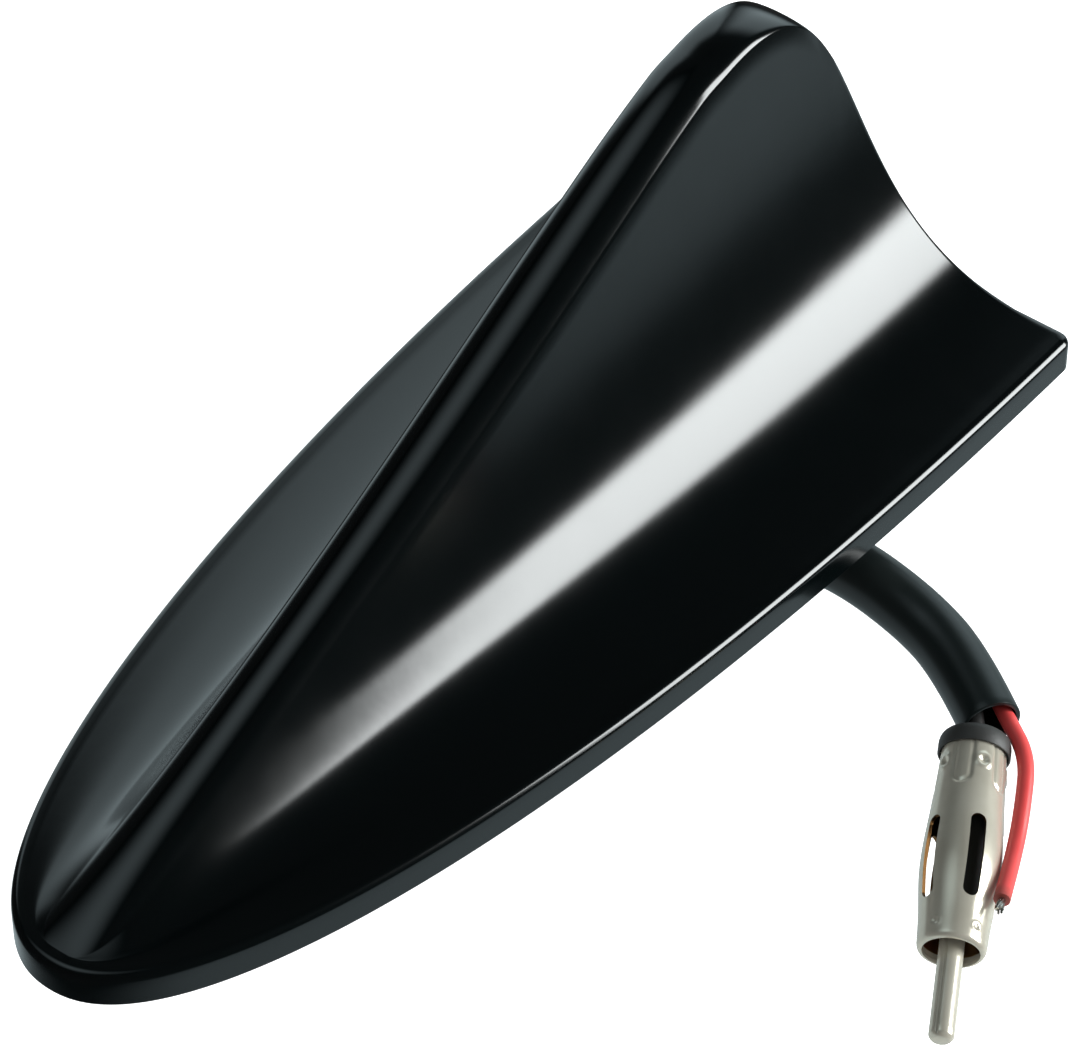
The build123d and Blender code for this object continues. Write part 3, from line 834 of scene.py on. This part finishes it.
def slot_cutter():
    """Five round-ended bars that cut the barrel's slots."""
    bars = []
    rounding = SLOT_ROUNDING * SLOT_WIDTH / 2
    for step in range(SLOT_COUNT):
        deselect()
        bpy.ops.mesh.primitive_cube_add(size=MM)
        bar = bpy.context.active_object
        bar.scale = (SLOT_CUTTER_DEPTH, SLOT_WIDTH, SLOT_END - SLOT_START)
        bar.location = Vector((SLOT_CUTTER_MIDDLE, 0.0, (SLOT_START + SLOT_END) / 2)) * MM
        bpy.ops.object.transform_apply(location=True, rotation=True, scale=True)
        bpy.ops.object.mode_set(mode="EDIT")
        bpy.ops.mesh.select_mode(type="EDGE")
        bpy.ops.mesh.select_all(action="DESELECT")
        bpy.ops.object.mode_set(mode="OBJECT")
        for edge in bar.data.edges:
            ends = [bar.data.vertices[index].co for index in edge.vertices]
            edge.select = abs(ends[0].x - ends[1].x) > SLOT_CUTTER_DEPTH / 2 * MM
        bpy.ops.object.mode_set(mode="EDIT")
        bpy.ops.mesh.bevel(offset=rounding * MM, segments=SLOT_ROUND_STEPS, affect="EDGES")
        bpy.ops.object.mode_set(mode="OBJECT")
        bar.rotation_euler.z = math.radians(SLOT_ANGLE + step * 360 / SLOT_COUNT)
        bpy.ops.object.transform_apply(location=True, rotation=True, scale=True)
        bars.append(bar)
    return join_meshes(bars)


def barrel():
    """The plug's plated barrel: bulged, slotted, with pressed marks and its mouth rolled in."""
    outer_lip = rolled_lip(*SHELL_PROFILE[-1], SHELL_END, SHELL_MOUTH, LIP_STEPS)
    inner_curve = smooth_profile(SHELL_PROFILE, SHELL_INNER_STEPS)
    inside = [(radius - SHELL_WALL, along) for radius, along in inner_curve]
    inner_lip = rolled_lip(*inside[-1], SHELL_END - SHELL_WALL, SHELL_MOUTH, LIP_INNER_STEPS)
    obj = turned([*BARREL, *outer_lip, *reversed(inner_lip), *reversed(inside)], closed=True)
    press_barrel(obj)
    cutter = slot_cutter()
    apply_modifier(obj, "BOOLEAN", object=cutter, operation="DIFFERENCE", solver="EXACT")
    bpy.data.objects.remove(cutter)
    return obj


def inner_faces(obj, material):
    """Gives the barrel's inner wall and the walls of its slots a material of their own."""
    obj.data.materials.append(material)
    for face in obj.data.polygons:
        out = Vector((face.center.x, face.center.y, 0.0))
        along = face.center.z / MM
        deep = out.length / MM < barrel_radius(along) - INNER_DEPTH
        if deep and along < INNER_END and face.normal.dot(out.normalized()) < INNER_FACING:
            face.material_index = 1


def collar():
    """The collar: a cup with a domed edge, bored for the coax and hollow below, over the barrel's end."""
    steps = range(COLLAR_DOME_STEPS + 1)
    dome = [tuple(bezier(COLLAR_DOME, step / COLLAR_DOME_STEPS)[0]) for step in steps]
    bore = [(COAX_RADIUS, COLLAR_BORE_END), (COAX_RADIUS, 0.0)]
    return turned([*dome, *COLLAR_SKIRT, *bore], COLLAR_SIDES, closed=True)


def pin():
    """The rolled centre pin: its seam is a groove along it, and its tip is chamfered round a flat end."""
    profile = [(0.0, PIN_START)]
    profile += [(PIN_RADIUS, PIN_START + PIN_STRAIGHT * row / PIN_ROWS) for row in range(PIN_ROWS + 1)]
    obj = turned(profile + PIN_TIP, PIN_SIDES)
    for vertex in obj.data.vertices:
        if math.hypot(vertex.co.x, vertex.co.y) > PIN_SEAM_FROM * MM:
            angle = math.degrees(math.atan2(vertex.co.y, vertex.co.x))
            off = abs((angle - PIN_SEAM_ANGLE + 180) % 360 - 180)
            shrink = 1 - PIN_SEAM_DEPTH * bell(off, PIN_SEAM_WIDTH)
            vertex.co.x *= shrink
            vertex.co.y *= shrink
    return obj


def bush():
    """The stepped bush that holds the pin in the barrel."""
    return turned(BUSH_HEAD + BUSH_STEM, BUSH_SIDES)


def strand_points(index):
    """The points of one strand, along the z axis; the last strand is the middle one."""
    radius = STRAND_SPREAD if index < STRANDS_AROUND else 0.0
    unevenness = (index * STRAND_STRIDE) % STRANDS_AROUND / STRANDS_AROUND
    length = STRAND_LENGTH + STRAND_UNEVENNESS * unevenness
    points = []
    for step in range(STRAND_POINTS):
        share = step / (STRAND_POINTS - 1)
        angle = 2 * math.pi * index / STRANDS_AROUND + STRAND_TWIST * share
        spread = radius * (1 + STRAND_FRAY * share)
        along = (length + STRAND_ROOT) * share - STRAND_ROOT
        points.append(Vector((spread * math.cos(angle), spread * math.sin(angle), along)))
    return points


def strands(start, way):
    """The bare strands of the wire, twisted together."""
    made = []
    for index in range(STRANDS_AROUND + 1):
        curve = route_curve("strand", strand_points(index))
        thicken(curve, STRAND_RADIUS, STRAND_ROUNDNESS)
        curve.data.resolution_u = STRAND_STEPS
        pick(curve)
        bpy.ops.object.convert(target="MESH")
        made.append(bpy.context.active_object)
    whole = pick(join_meshes(made))
    turn = way.to_track_quat("Z", "Y").to_matrix().to_4x4()
    turn.translation = start * MM
    whole.matrix_world = turn
    bpy.ops.object.transform_apply(location=True, rotation=True, scale=True)
    return whole


def route_curve(name, points):
    """A smooth curve whose control points are a route's points, in millimetres."""
    curve = bpy.data.curves.new(name, "CURVE")
    curve.dimensions = "3D"
    spline = curve.splines.new("NURBS")
    spline.points.add(len(points) - 1)
    for point, place in zip(spline.points, points):
        point.co = (*(place * MM), 1.0)
    spline.order_u = 3
    spline.use_endpoint_u = True
    curve.resolution_u = CORD_STEPS
    obj = bpy.data.objects.new(name, curve)
    bpy.context.scene.collection.objects.link(obj)
    return obj


def thicken(curve, radius, roundness):
    """Makes a curve a solid round cord of a radius in millimetres."""
    curve.data.bevel_depth = radius * MM
    curve.data.bevel_resolution = roundness
    curve.data.use_fill_caps = True


def points_along(curve):
    """The points that a curve runs through, in metres."""
    mesh = bpy.data.meshes.new_from_object(curve)
    return [vertex.co.copy() for vertex in mesh.vertices]


def cord_length(points):
    """Length of a line through points."""
    return sum((after - before).length for before, after in zip(points, points[1:]))


def sleeve():
    """The hollow sleeve with its cut end, and the points that it follows."""
    end = at_plug(-SLEEVE_END_BACK, SLEEVE_END_SIDE, 0.0)
    curve = route_curve("sleeve", [SLEEVE_START, *SLEEVE_ROUTE, end])
    path = points_along(curve)
    curve.data.bevel_depth = SLEEVE_RADIUS * MM
    curve.data.bevel_resolution = SLEEVE_ROUNDNESS
    pick(curve)
    bpy.ops.object.convert(target="MESH")
    obj = bpy.context.active_object
    edit(obj, merge, face_out)
    apply_modifier(obj, "SOLIDIFY", thickness=(SLEEVE_RADIUS - SLEEVE_BORE) * MM, offset=-1.0)
    cut = {"limit_method": "ANGLE", "angle_limit": math.radians(SLEEVE_CUT_ANGLE)}
    apply_modifier(obj, "BEVEL", width=SLEEVE_CUT_EDGE * MM, segments=SLEEVE_CUT_STEPS, **cut)
    return settle(obj, "sleeve", SLEEVE_SMOOTH_ANGLE), path


def coax():
    """The coax, from the board through the sleeve into the collar."""
    inside = SLEEVE_START + COAX_SHIFT
    points = [Vector((COAX_START_X, inside.y, COAX_HEIGHT)), Vector((inside.x, inside.y, COAX_HEIGHT))]
    points += [point + COAX_SHIFT for point in SLEEVE_ROUTE]
    points += [at_plug(-COAX_TURN_BACK, 0.0, 0.0), at_plug(COAX_END, 0.0, 0.0)]
    curve = route_curve("coax", points)
    thicken(curve, COAX_RADIUS, CORD_ROUNDNESS)
    return curve


def supply_wire():
    """The red wire, from the board through the sleeve and along beside the plug."""
    inside = SLEEVE_START + WIRE_SHIFT
    points = [WIRE_BOARD_END, WIRE_ARCH, Vector((inside.x, inside.y, WIRE_ARCH.z))]
    points += [point + WIRE_SHIFT for point in SLEEVE_ROUTE]
    points += [at_plug(*place) for place in WIRE_BESIDE_PLUG]
    curve = route_curve("wire", points)
    path = points_along(curve)
    thicken(curve, WIRE_RADIUS, CORD_ROUNDNESS)
    return curve, path


def dress_hidden_nodes():
    """Finishes for the CAD pieces that stay as they are."""
    steel = bright_metal("zinc_steel", (0.42, 0.41, 0.38), (0.62, 0.61, 0.58), 0.28)
    board = circuit_board()
    chip = grained_plastic("chip_black", (0.010, 0.010, 0.011), (0.022, 0.022, 0.024), 0.45)
    rubber = grained_plastic("grommet_rubber", (0.010, 0.010, 0.010), (0.020, 0.020, 0.020), 0.70)
    finishes = {
        "base_plate": grained_plastic("plate_black", (0.012, 0.013, 0.013), (0.022, 0.024, 0.024), 0.55),
        "adhesive_pad": pad_foam(),
        "base_screws": steel,
        "board_screws": steel,
        "cable_grommet": rubber,
        "amplifier_board": board,
        "aerial_board": board,
        "input_choke": grained_plastic("ferrite", (0.030, 0.029, 0.028), (0.058, 0.056, 0.054), 0.60),
        "filter_capacitor": bright_metal("drawn_can", (0.50, 0.50, 0.51), (0.68, 0.68, 0.69), 0.30),
        "amplifier_transistor": chip,
        "chip_resistors": chip,
        "chip_capacitors": grained_plastic("chip_ceramic", (0.30, 0.20, 0.11), (0.42, 0.30, 0.18), 0.50),
        "coax_clamp": steel,
    }
    for node, material in finishes.items():
        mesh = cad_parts[node].data
        mesh.materials.clear()
        mesh.materials.append(material)


def build_plug():
    """The pieces of the plug."""
    nickel = bright_metal("plug_nickel", (0.52, 0.48, 0.39), (0.78, 0.74, 0.63), 0.18, 0.50)
    pieces = []
    shell = barrel()
    shell.data.materials.clear()
    shell.data.materials.append(nickel)
    inner_faces(shell, raw_brass())
    put_on_plug(shell)
    pieces.append(add_piece(settle(shell, "barrel"), None, "plug_nickel", "plug_shell"))
    charcoal = grained_plastic("collar_charcoal", (0.022, 0.022, 0.021), (0.036, 0.036, 0.034), 0.48)
    resin = grained_plastic("bush_resin", (0.010, 0.012, 0.011), (0.022, 0.022, 0.018), 0.45)
    turned_pieces = [
        ("collar", collar(), charcoal, "collar_plastic", "plug_collar"),
        ("pin", pin(), nickel, "plug_nickel", "plug_pin"),
        ("bush", bush(), resin, "insulator_resin", "plug_insulator"),
    ]
    for name, obj, material, slot, node in turned_pieces:
        put_on_plug(obj)
        pieces.append(add_piece(settle(obj, name), material, slot, node))
    return pieces


def build_cords(plug_pieces):
    """The sleeve with the coax, which runs on into the plug's collar, and the supply wire with its bare
    strands.
    """
    jacket = grained_plastic("coax_jacket", (0.008, 0.008, 0.008), (0.016, 0.016, 0.016), 0.42)
    core = add_piece(coax(), jacket, "coax_jacket", "coax_cable")
    tube, path = sleeve()
    add_piece(tube, sleeve_plastic(), "sleeve_plastic", "cable_sleeve")
    cord_length(path)
    wire, wire_path = supply_wire()
    end = wire_path[-1]
    way = (wire_path[-1] - wire_path[-2]).normalized()
    add_piece(wire, wire_insulation(end), "wire_insulation", "supply_wire")
    bare = settle(strands(end / MM, way), "strands")
    tin = bright_metal("tinned_copper", (0.52, 0.50, 0.46), (0.78, 0.76, 0.72), 0.22)
    add_piece(bare, tin, "tinned_copper", "supply_wire_strands")
    cord_length(wire_path)


# Studio: distances in metres, angles in degrees, and brightness as the surface's own
FLOOR_HEIGHT = -0.026
FLOOR_RADIUS = 3.0
FLOOR_SIDES = 96
FLOOR_GLOW = 0.98
TABLE_DEPTH = 0.001
TABLE_CENTRE = (0.065, -0.011)
TABLE_SIZE = (0.350, 0.162)
TABLE_SOFT = 0.10
TABLE_GLOW = 0.55
ROOM_LIGHT = 0.03
ROOM_SEEN = 0.98
DAYLIGHT = (0.96, 1.00, 1.00)
SKYLIGHT = (0.78, 0.95, 1.00)
# Soft panels round the object: azimuth, elevation, width, height, softness, brightness and tint of each
PANEL_DISTANCE = 3.0
PANELS = {
    "key_panel": (-53.8, 13.6, 35.6, 41.5, 0.18, 17.6, DAYLIGHT),
    "back_panel": (57.0, 12.0, 50.0, 70.0, 0.20, 1.15, SKYLIGHT),
    "crest_panel": (128.0, 68.0, 60.0, 56.0, 0.50, 1.0, SKYLIGHT),
    "tip_panel": (12.0, 18.0, 48.0, 62.0, 0.30, 1.3, SKYLIGHT),
}
# A broad light from the camera's side that the gloss doesn't show
FILL_PANEL = (-150.0, 62.0, 70.0, 60.0, 0.30, 1.15, DAYLIGHT)
CAMERA_RIGHT = Vector((0.6136, -0.7896, 0.0))
CAMERA_UP = Vector((0.558, 0.434, 0.707))
CAMERA_BACK = Vector((-0.558, -0.434, 0.707))
CAMERA_DISTANCE = 0.700
CAMERA_AIM = (7.85, 9.08, 0.6)
CAMERA_FOCAL = 183.17
CAMERA_SENSOR = 36.0
CAMERA_NEAR = 0.01


def floor():
    """A plain pale floor, lit evenly. The gloss shows the table under it instead."""
    deselect()
    bpy.ops.mesh.primitive_circle_add(vertices=FLOOR_SIDES, radius=FLOOR_RADIUS, fill_type="NGON")
    obj = bpy.context.active_object
    obj.name = "floor"
    obj.location.z = FLOOR_HEIGHT
    finish = Finish("pale_floor", roughness=0.9, base_color=(0.82, 0.82, 0.82, 1))
    finish.shader.inputs["Emission Color"].default_value = (1, 1, 1, 1)
    finish.shader.inputs["Emission Strength"].default_value = FLOOR_GLOW
    finish.shader.inputs["Specular IOR Level"].default_value = 0.0
    obj.data.materials.append(finish.material)
    obj.visible_glossy = False


def glowing_panel(name, size, soft, glow, tint):
    """A flat panel that gives light, softer towards its edges."""
    deselect()
    bpy.ops.mesh.primitive_plane_add(size=1.0)
    obj = bpy.context.active_object
    obj.name = name
    obj.scale = (*size, 1.0)
    finish = Finish(name, roughness=1.0, base_color=(0, 0, 0, 1))
    glowing = 1.0
    for axis in ("X", "Y"):
        across = finish.add("ShaderNodeSeparateXYZ", {}, {"Vector": finish.places()}, axis)
        glowing = glowing * finish.between(0.5 - across.maths("ABSOLUTE", across), 0.0, soft)
    finish.feed("Emission Color", finish.blend(glowing, (0, 0, 0, 1), (*tint, 1)))
    finish.shader.inputs["Emission Strength"].default_value = glow
    finish.shader.inputs["Specular IOR Level"].default_value = 0.0
    obj.data.materials.append(finish.material)
    obj.visible_camera = False
    obj.visible_shadow = False
    return obj


def table():
    """The bright table top that the gloss shows."""
    obj = glowing_panel("table", TABLE_SIZE, TABLE_SOFT, TABLE_GLOW, SKYLIGHT)
    obj.location = (*TABLE_CENTRE, FLOOR_HEIGHT - TABLE_DEPTH)


def soft_panel(name, azimuth, elevation, width, height, soft, glow, tint):
    """A soft studio panel that faces the object, sized by the angle that it fills."""
    spans = [2 * PANEL_DISTANCE * math.tan(math.radians(angle / 2)) for angle in (width, height)]
    obj = glowing_panel(name, spans, soft, glow, tint)
    turn, up = math.radians(azimuth), math.radians(elevation)
    way = Vector((math.cos(turn) * math.cos(up), math.sin(turn) * math.cos(up), math.sin(up)))
    obj.location = way * PANEL_DISTANCE
    obj.rotation_euler = way.to_track_quat("Z", "Y").to_euler()
    return obj


def room():
    """A dim room that the camera sees as pale as the floor."""
    world = bpy.data.worlds.new("room")
    world.use_nodes = True
    nodes, links = world.node_tree.nodes, world.node_tree.links
    seen = nodes.new("ShaderNodeLightPath").outputs["Is Camera Ray"]
    shade = nodes.new("ShaderNodeMapRange")
    shade.inputs["To Min"].default_value = ROOM_LIGHT
    shade.inputs["To Max"].default_value = ROOM_SEEN
    links.new(seen, shade.inputs["Value"])
    links.new(shade.outputs["Result"], nodes["Background"].inputs["Strength"])
    nodes["Background"].inputs["Color"].default_value = (1, 1, 1, 1)
    bpy.context.scene.world = world


def studio():
    """Floor, panels and room."""
    floor()
    table()
    for name, settings in PANELS.items():
        soft_panel(name, *settings)
    soft_panel("fill_panel", *FILL_PANEL).visible_glossy = False
    room()
    bpy.context.scene.view_settings.view_transform = "Standard"


def camera():
    """The camera at the photograph's viewing angle."""
    data = bpy.data.cameras.new("camera")
    data.lens = CAMERA_FOCAL
    data.sensor_width = CAMERA_SENSOR
    data.sensor_fit = "HORIZONTAL"
    data.clip_start = CAMERA_NEAR
    obj = bpy.data.objects.new("camera", data)
    bpy.context.scene.collection.objects.link(obj)
    right, up, rise = CAMERA_AIM
    aim = (CAMERA_RIGHT * right + CAMERA_UP * up + Vector((0, 0, rise))) * MM
    matrix = Matrix((CAMERA_RIGHT, CAMERA_UP, CAMERA_BACK)).transposed().to_4x4()
    matrix.translation = aim + CAMERA_BACK * CAMERA_DISTANCE
    obj.matrix_world = matrix
    bpy.context.scene.camera = obj


add_piece(fin_housing(), gloss_black(), "fin_plastic", "fin_shell")
build_cords(build_plug())
dress_hidden_nodes()
studio()
camera()
